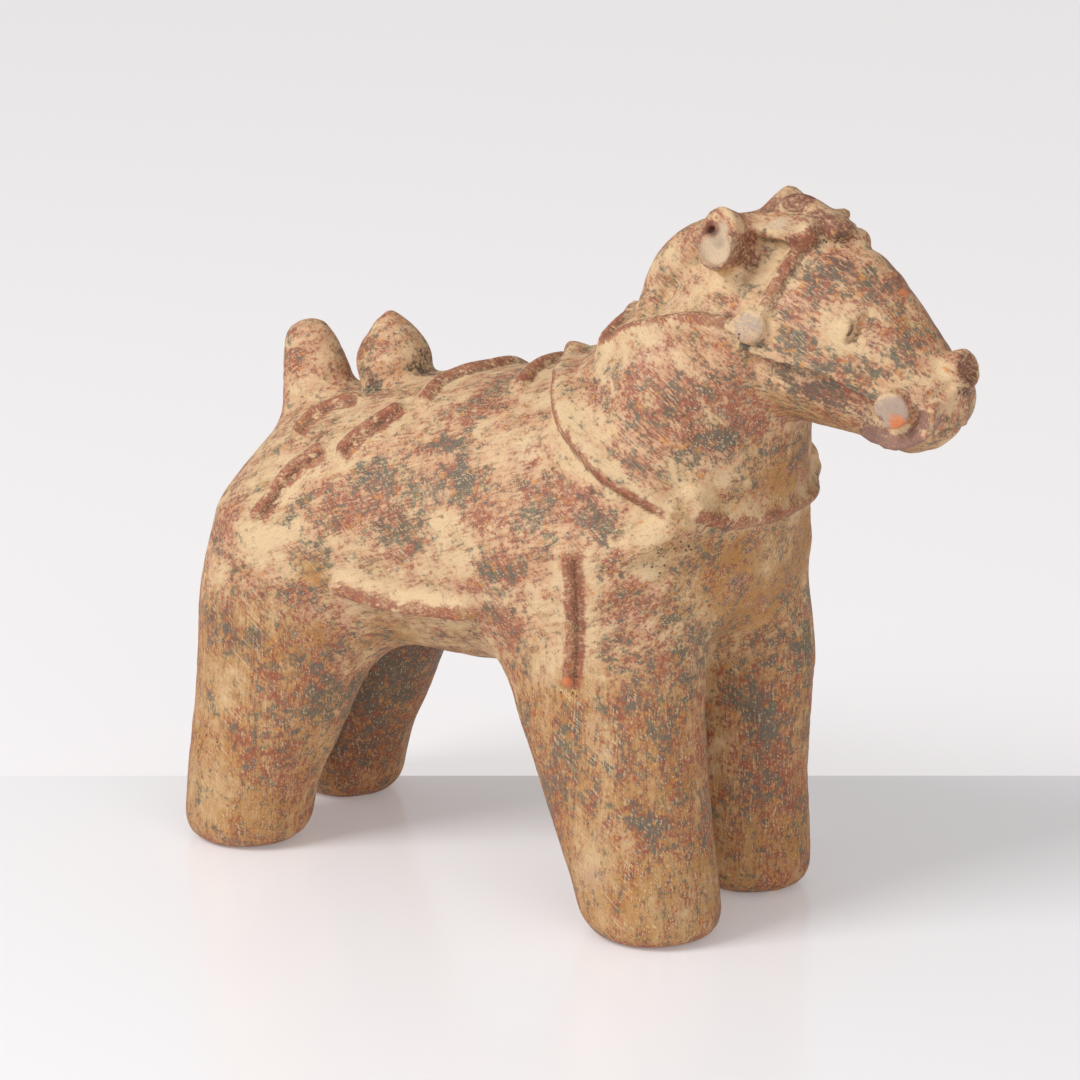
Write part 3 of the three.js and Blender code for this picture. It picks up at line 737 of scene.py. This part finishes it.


# Small touches: bare orange clay in the chips, grey-pink disc faces, dark knobs and pale ear ends,
# and painted shade under the jaw, beside the ears, in the ear pits, in the gap under the near cheek
# disc and in the near eye slit.
# Each is a place, its reach, its colour and its strength.
RAW_ORANGE = (0.66, 0.20, 0.07)
GREY_PINK = (0.44, 0.33, 0.26)
MAUVE = (0.27, 0.14, 0.11)
SOOT = (0.045, 0.038, 0.028)
DARK_RED = (0.19, 0.06, 0.035)
PALE_SLIP = (0.68, 0.52, 0.35)
SMOKED_SLIP = (0.34, 0.27, 0.20)
JAW_SHADE = (0.13, 0.075, 0.05)
TOUCHES = [
    ((178, -43, 308), 7.5, GREY_PINK, 0.55), ((178, 43, 308), 7.5, GREY_PINK, 0.55),
    ((249, -31, 275), 8.5, GREY_PINK, 0.8), ((249, 31, 275), 8.5, GREY_PINK, 0.8),
    ((252, -30, 269.5), 4.6, RAW_ORANGE, 1.0), ((236, -26, 269), 3.6, RAW_ORANGE, 1.0),
    ((267, -13, 265), 2.6, RAW_ORANGE, 1.0), ((238.5, -3, 326), 2.6, RAW_ORANGE, 1.0),
    ((101, -79, 130), 3.2, RAW_ORANGE, 0.8), ((273, -1.5, 294), 8.5, DARK_RED, 0.55),
    ((270, -3, 284), 5.0, SOOT, 0.5), ((202, -4, 352), 9.0, DARK_RED, 0.55),
    # The dark red at 168 along, beside each ear, and at 157 along, round each ear's end, is painted shade on
    # the ears' sides.
    ((206, -7, 348), 4.0, SOOT, 0.6), ((168, -28, 340), 10.0, DARK_RED, 0.6),
    ((168, 28, 340), 10.0, DARK_RED, 0.6), ((157, -38, 342), 11.5, DARK_RED, 0.5),
    ((157, 38, 342), 11.5, DARK_RED, 0.5), ((157, -39, 342), 8.0, PALE_SLIP, 0.9),
    ((157, 39, 342), 8.0, PALE_SLIP, 0.9), ((157, -36, 350.5), 5.0, PALE_SLIP, 0.8),
    ((157, 36, 350.5), 5.0, PALE_SLIP, 0.8), ((151.5, -34.5, 349.5), 4.4, DARK_RED, 0.8),
    ((151.5, 34.5, 349.5), 4.4, DARK_RED, 0.8), ((157.5, -38, 345.5), 3.6, SMOKED_SLIP, 0.6),
    # The soot at 152.5 along, deep in each ear's pit, is painted shade in the hole.
    ((157.5, 38, 345.5), 3.6, SMOKED_SLIP, 0.6), ((152.5, -34, 348.5), 2.4, SOOT, 0.7),
    # The soot at 174 and 181 along, in and under the gap beneath the near cheek disc, is painted shade.
    ((152.5, 34, 348.5), 2.4, SOOT, 0.7), ((174, -40, 298), 3.4, SOOT, 0.9),
    # The dark red and soot from 225.5 to 231.5 along, in the near eye slit and its sunk corner, are painted
    # shade.
    ((181, -38, 301), 4.0, SOOT, 0.5), ((226, -26, 310), 3.6, DARK_RED, 0.6),
    ((225.5, -28, 307), 3.0, SOOT, 0.9), ((231.5, -23.5, 313.5), 3.6, DARK_RED, 0.55),
    ((250, -22, 257), 6.5, MAUVE, 0.75), ((263, -20, 271), 6.5, MAUVE, 0.7),
    ((-60, 0, 244), 15.0, DARK_RED, 0.35), ((-48, 0, 248), 12.0, SOOT, 0.45),
    ((-60, -18, 240), 7.0, SOOT, 0.5), ((176, -15, 352), 5.5, PALE_SLIP, 0.6),
    ((178, -1, 362), 9.0, DARK_RED, 0.6), ((166, -3, 357), 6.0, DARK_RED, 0.5),
    ((191, -5, 355), 6.0, DARK_RED, 0.5), ((164, -20, 345), 4.0, DARK_RED, 0.6),
    ((175, -22, 345), 4.0, DARK_RED, 0.6), ((186, -20, 346), 4.0, DARK_RED, 0.6),
    # Painted shade along the underside of the jaw.
    ((186, -37, 287), 8.0, JAW_SHADE, 0.5), ((195, -35, 284), 8.5, JAW_SHADE, 0.5),
    ((204, -33, 280), 8.5, JAW_SHADE, 0.5), ((213, -31, 277), 8.5, JAW_SHADE, 0.5),
    ((222, -29, 272), 8.5, JAW_SHADE, 0.5), ((231, -27, 266), 8.0, JAW_SHADE, 0.5),
    ((236, -21, 259), 6.5, MAUVE, 0.75), ((243, -21, 256), 6.5, MAUVE, 0.75),
    ((257, -22, 262), 6.5, MAUVE, 0.75)]
touch = np.zeros((len(points), 4), np.float32)
for place, reach, colour, strength in TOUCHES:
    away = np.linalg.norm(points - place, axis=1)
    weight = strength * ease(away, reach * 1.25, reach * 0.75)
    touch[touch[:, 3] == 0, :3] = colour
    touch[:, :3] += (np.array(colour) - touch[:, :3]) * weight[:, None]
    touch[:, 3] = np.maximum(touch[:, 3], weight)

PITTED = [(186, 34, 320, 12), (175, 36, 300, 12), (197, 8, 344, 9), (101, 76, 126, 9), (168, 14, 346, 12),
          (205, 12, 340, 8), (140, 52, 222, 12), (150, 56, 200, 14), (-120, 66, 60, 14)]
foot = ease(points[:, 2], 9, 1.5)
# Painted shade: the chest low down where it faces forward, and every surface that faces down, are darkened
# towards the tan and orange-brown clay colours, along with the real patches and the legs.
breast_shade = 0.5 * ease(facing[:, 0], 0.3, 0.9) * ease(points[:, 2], 250, 215)
ochre = np.maximum(patches(points, OCHRE_PATCHES), breast_shade)
ochre = np.maximum(ochre, 0.5 * ease(facing[:, 2], -0.2, -0.8))
ochre = np.maximum(ochre, 0.66 * on_legs(points))
layers = {"cream": patches(points, CREAM_PATCHES), "red": np.maximum(patches(points, RED_PATCHES), foot),
          "grey": patches(points, GREY_PATCHES), "ochre": ochre, "edge": edge, "rim": rim, "hollow": hollow,
          "crest": crest, "leg": on_legs(points), "neck": on_neck(points), "head": on_head(points),
          "pitted": patches(points, PITTED)}
for name, values in layers.items():
    mesh.attributes.new(name, "FLOAT", "POINT").data.foreach_set("value", values.astype(np.float32))
mesh.attributes.new("touch", "FLOAT_COLOR", "POINT").data.foreach_set("color", touch.ravel())

skin = bpy.data.materials.new("slipped_terracotta")
skin.use_nodes = True
tree = skin.node_tree
shader = tree.nodes["Principled BSDF"]


def give(socket, value):
    """Link or set one input."""
    if isinstance(value, bpy.types.NodeSocket):
        tree.links.new(value, socket)
    else:
        socket.default_value = value


def step(kind, settings, **inputs):
    """A node with its settings and its inputs, given by name."""
    made = tree.nodes.new("ShaderNode" + kind)
    for name, value in settings.items():
        setattr(made, name, value)
    for name, value in inputs.items():
        give(made.inputs[name.replace("_", " ")], value)
    return made


def sum_of(*terms):
    """Each term is a value and how much it counts; a bare number counts as itself."""
    total = None
    for term in terms:
        value, share = term if isinstance(term, tuple) else (None, term)
        made = tree.nodes.new("ShaderNodeMath")
        made.operation = "MULTIPLY_ADD" if value is not None else "ADD"
        if value is not None:
            give(made.inputs[0], value)
            give(made.inputs[1], share)
            give(made.inputs[2], 0.0 if total is None else total)
        else:
            give(made.inputs[0], 0.0 if total is None else total)
            give(made.inputs[1], share)
        total = made.outputs[0]
    return total


def product(a, b):
    made = step("Math", {"operation": "MULTIPLY"})
    give(made.inputs[0], a)
    give(made.inputs[1], b)
    return made.outputs[0]


def rise(value, start, end):
    made = step("MapRange", {"interpolation_type": "SMOOTHSTEP"}, Value=value)
    give(made.inputs["From Min"], start)
    give(made.inputs["From Max"], end)
    return made.outputs[0]


def painted(below, above, cover):
    made = step("Mix", {"data_type": "RGBA"})
    give(made.inputs["Factor"], cover)
    give(made.inputs["A"], below if isinstance(below, bpy.types.NodeSocket) else (*below, 1))
    give(made.inputs[7], above if isinstance(above, bpy.types.NodeSocket) else (*above, 1))
    return made.outputs[2]


def layer(name):
    return step("Attribute", {"attribute_name": name}).outputs["Fac"]


place = step("TexCoord", {}).outputs["Object"]


def mottle(size_mm, seed, detail=4.0, roughness=0.6, at=None):
    """Random cloudiness about a size across, centred on nought."""
    shifted = step("Mapping", {}, Vector=place if at is None else at)
    shifted.inputs["Location"].default_value = (seed * 1.7, seed * 2.3, seed * 0.9)
    cloud = step("TexNoise", {}, Vector=shifted.outputs[0], Scale=1000.0 / size_mm, Detail=detail,
                 Roughness=roughness)
    return sum_of((cloud.outputs[0], 1.0), -0.5)


def combed(turn, stretch):
    """The clay's place squeezed along the way a brush was drawn, so marks come out long."""
    made = step("Mapping", {"vector_type": "TEXTURE"}, Vector=place)
    made.inputs["Rotation"].default_value = (0, math.radians(turn), 0)
    made.inputs["Scale"].default_value = (stretch, 1, 1)
    return made.outputs[0]


BRUSHED = {"barrel": -22, "leg": -88, "neck": 32, "head": 16}


def strokes(size_mm, seed, stretch=4.5, detail=3.0, roughness=0.6):
    """Brush marks: along the barrel and the head, down the legs and slanting round the neck."""
    marks = {part: mottle(size_mm, seed, detail, roughness, combed(turn, stretch))
             for part, turn in BRUSHED.items()}
    blend = marks["barrel"]
    for part in ("leg", "neck", "head"):
        mixed = step("Mix", {"data_type": "FLOAT"})
        give(mixed.inputs[0], layer(part))
        give(mixed.inputs[2], blend)
        give(mixed.inputs[3], marks[part])
        blend = mixed.outputs[0]
    return blend


SLIP_CREAM = (0.71, 0.505, 0.29)
SLIP_PINK = (0.60, 0.41, 0.29)
CLAY_TAN = (0.50, 0.30, 0.14)
CLAY_OCHRE = (0.43, 0.21, 0.06)
IRON_RED = (0.27, 0.060, 0.030)
ROSE_RED = (0.48, 0.175, 0.095)
SMOKE_GREY = (0.10, 0.115, 0.085)
SMOKE_BROWN = (0.11, 0.055, 0.033)
FLECK_ORANGE = (0.64, 0.26, 0.05)

broad, bristle, hair = strokes(10, 1, 3.6), strokes(1.7, 2, 4.0, 2.5), strokes(0.75, 13, 11.0, 1.0)
large, large_red, large_grey = mottle(38, 5), mottle(24, 6), mottle(17, 7)
middle, middle_red, middle_grey = mottle(6.5, 15), mottle(4.2, 18), mottle(5.0, 16)
fine_red, fine_grey, fine = mottle(1.6, 9, 3.0), mottle(1.9, 10, 3.0), mottle(2.6, 8, 3.0)
grain = mottle(0.7, 11, 1.0)
cream, red, grey = layer("cream"), layer("red"), layer("grey")
halo = rise(layer("edge"), -11.0, -1.0)
bare = sum_of((cream, 0.50), (layer("hollow"), 0.35), (halo, 0.40))

# The darkening layer used below is partly painted shade, on the low forward-facing chest and on surfaces
# facing down.
tan_cover = rise(sum_of((large_grey, 1.0), (broad, 0.9), (bristle, 0.7), (layer("ochre"), 0.40)),
                 -0.05, 0.5)
coat = painted(SLIP_CREAM, CLAY_TAN, tan_cover)
coat = painted(coat, CLAY_OCHRE, rise(sum_of((layer("ochre"), 0.9), (large, 1.0), (middle, 0.6)), 0.2, 0.85))
coat = painted(coat, SLIP_PINK, product(rise(sum_of((large_red, 1.2), (middle, 0.8)), 0.0, 0.3), 0.5))
coat = painted(coat, SMOKE_BROWN, product(rise(sum_of((hair, 1.0), (bristle, 0.8)), 0.08, 0.34), 0.35))

density = sum_of((large, 0.65), (broad, 1.1), (middle, 0.9), (red, 0.18), (grey, 0.12), (bare, -0.38),
                 (layer("leg"), 0.06), 0.13)
stain = rise(density, -0.26, 0.30)
ochre_share = rise(sum_of((large_grey, 1.0), (middle_grey, 0.8), (layer("ochre"), 0.5)), -0.08, 0.22)
stain_tone = painted(ROSE_RED, CLAY_OCHRE, ochre_share)
colour = painted(coat, stain_tone, product(stain, 0.54))

red_cover = rise(sum_of((density, 1.05), (large_red, 0.7), (middle_red, 1.3), (red, 0.12), (fine_red, 1.1),
                        (bristle, 1.3), (layer("crest"), 0.2), -0.02), -0.02, 0.50)
red_tone = painted(IRON_RED, ROSE_RED, rise(sum_of((fine, 1.2), (middle_grey, 1.0)), -0.1, 0.25))
colour = painted(colour, red_tone, product(red_cover, 0.86))

grey_cover = rise(sum_of((density, 0.65), (large_grey, 1.1), (middle_grey, 1.9), (grey, 0.27),
                         (fine_grey, 1.2), (bristle, 0.9), -0.09), -0.02, 0.46)
grey_tone = painted(SMOKE_GREY, SMOKE_BROWN, rise(sum_of((large, 1.0), (middle, 0.6)), 0.02, 0.27))
colour = painted(colour, grey_tone, product(grey_cover, 0.82))

edge_of = sum_of((layer("edge"), 1.0), (middle, 5.0), (large, 4.0), (fine_red, 2.5), (bristle, 3.0))
worn = product(rise(sum_of((fine, 1.0), (broad, 1.0), (middle_red, 0.8)), -0.02, 0.35), 0.6)
strap_tone = painted(IRON_RED, ROSE_RED, worn)
smoked = product(rise(sum_of((fine_grey, 1.0), (middle_grey, 1.2)), 0.02, 0.3), 0.7)
strap_tone = painted(strap_tone, SMOKE_BROWN, smoked)
scuffed = product(rise(sum_of((middle, 1.0), (large_red, 1.0), (bristle, 0.8)), 0.06, 0.3), 0.7)
strap_tone = painted(strap_tone, CLAY_TAN, scuffed)
strap_cover = product(rise(edge_of, -1.2, 1.2),
                      rise(sum_of((large, 1.0), (middle, 1.2), (bristle, 1.2)), -0.36, 0.0))
colour = painted(colour, strap_tone, product(strap_cover, 0.85))
# Painted shade: a dark broken line along each strap's crisp edge, as if in the shadow of its step.
step_shade_cover = rise(sum_of((layer("rim"), 1.0), (bristle, 1.4), (middle, 1.6), (large, 1.0)), 0.42, 1.0)
colour = painted(colour, SMOKE_BROWN, product(step_shade_cover, 0.55))

crossed = mottle(0.8, 17, 1.0, 0.5, combed(38, 12.0))
rubbed = rise(sum_of((hair, 1.1), (crossed, 1.2), (bristle, 0.6), (middle, 0.6), (bare, 0.10)), 0.14, 0.34)
kept = sum_of((strap_cover, -0.25), 0.60)
colour = painted(colour, SLIP_CREAM, product(rubbed, kept))
fleck_cover = rise(sum_of((mottle(4.2, 12), 1.0), (fine_grey, 0.5), (bristle, 0.4), (density, 0.12)),
                   0.13, 0.25)
colour = painted(colour, FLECK_ORANGE, product(fleck_cover, 0.7))

# Painted shade: the tightest hollows and crevices of the clay, round the discs and between the parts,
# darkened with smoke brown.
crease_shade = product(rise(layer("hollow"), 0.80, 1.0), rise(sum_of((bristle, 1.0), (middle, 1.0)), -0.2, 0.1))
colour = painted(colour, SMOKE_BROWN, product(crease_shade, 0.45))

touched = step("Attribute", {"attribute_name": "touch"})
touch_cover = rise(sum_of((touched.outputs["Alpha"], 1.0), (fine_red, 1.2), (bristle, 0.8),
                          (middle, 0.5)), 0.15, 0.75)
colour = painted(colour, touched.outputs["Color"], product(touch_cover, 0.9))

cells = step("TexVoronoi", {"feature": "F1"}, Vector=place, Scale=330.0, Randomness=1.0)
pits = product(rise(cells.outputs["Distance"], 0.26, 0.14),
               rise(sum_of((layer("pitted"), 0.30), (mottle(7, 14), 1.0)), 0.2, 0.28))
colour = painted(colour, SOOT, product(pits, 0.85))
colour = painted(colour, SMOKE_BROWN, product(rise(grain, 0.10, 0.22), 0.35))

give(shader.inputs["Base Color"], colour)
give(shader.inputs["Roughness"], sum_of((red_cover, -0.10), (grain, 0.3), 0.74))
height = sum_of((bristle, 0.40), (hair, 0.30), (broad, 0.6), (fine, 0.30), (grain, 0.10), (pits, -1.2))
relief = step("Bump", {}, Height=height, Strength=0.75, Distance=0.0009)
give(shader.inputs["Normal"], relief.outputs[0])
mesh.materials.append(skin)

# ------------------------------------------------------------------ table and light
# The horse stands on a white glossy table top with pale paper behind it, under a large soft light
# ahead of it on the left and a weaker one on the right.

WHITE_TOP = (0.84, 0.835, 0.85, 1)
PALE_PAPER = (0.34, 0.33, 0.335, 1)
WHITE_GLOW = (1.0, 0.97, 0.975, 1)
BEHIND = 0.078
ahead = Vector((to_camera.x, to_camera.y, 0)).normalized()
beside_view = Vector((-ahead.y, ahead.x, 0))
seam = Vector((AIM[0], AIM[1], 0)) - ahead * BEHIND
HALF = 6.0


def sheet_corners(near, far):
    return [seam + ahead * a + beside_view * b for a, b in ((near, -HALF), (near, HALF), (far, HALF),
                                                            (far, -HALF))]


for name, near, far, colour, shine, glow in (("table_top", 0.0, HALF, WHITE_TOP, 0.18, 0.17),
                                             ("paper", -HALF, 0.0, PALE_PAPER, 0.9, 0.61)):
    ground = bpy.data.meshes.new(name)
    ground.from_pydata([tuple(corner) for corner in sheet_corners(near, far)], [], [(3, 2, 1, 0)])
    surface = bpy.data.materials.new(name)
    surface.use_nodes = True
    shader = surface.node_tree.nodes["Principled BSDF"]
    shader.inputs["Base Color"].default_value = colour
    shader.inputs["Roughness"].default_value = shine
    shader.inputs["Emission Color"].default_value = WHITE_GLOW
    shader.inputs["Emission Strength"].default_value = glow
    ground.materials.append(surface)
    sheet = bpy.data.objects.new(name, ground)
    bpy.context.collection.objects.link(sheet)
    sheet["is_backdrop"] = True

LIGHTS = [("window", (-1.1, -2.1, 2.1), 1.4, 64.0), ("fill", (2.1, -1.2, 0.9), 1.6, 15.0)]
for name, place, size, watts in LIGHTS:
    lamp = bpy.data.lights.new(name, "AREA")
    lamp.size, lamp.energy = size, watts
    light = bpy.data.objects.new(name, lamp)
    light.location = place
    light.rotation_euler = (Vector((0, 0, 0.15)) - light.location).to_track_quat("-Z", "Y").to_euler()
    bpy.context.collection.objects.link(light)
room = bpy.data.worlds.new("room")
bpy.context.scene.world = room
room.use_nodes = True
room.node_tree.nodes["Background"].inputs["Color"].default_value = (1.0, 0.985, 0.99, 1)
room.node_tree.nodes["Background"].inputs["Strength"].default_value = 0.42

low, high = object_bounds()
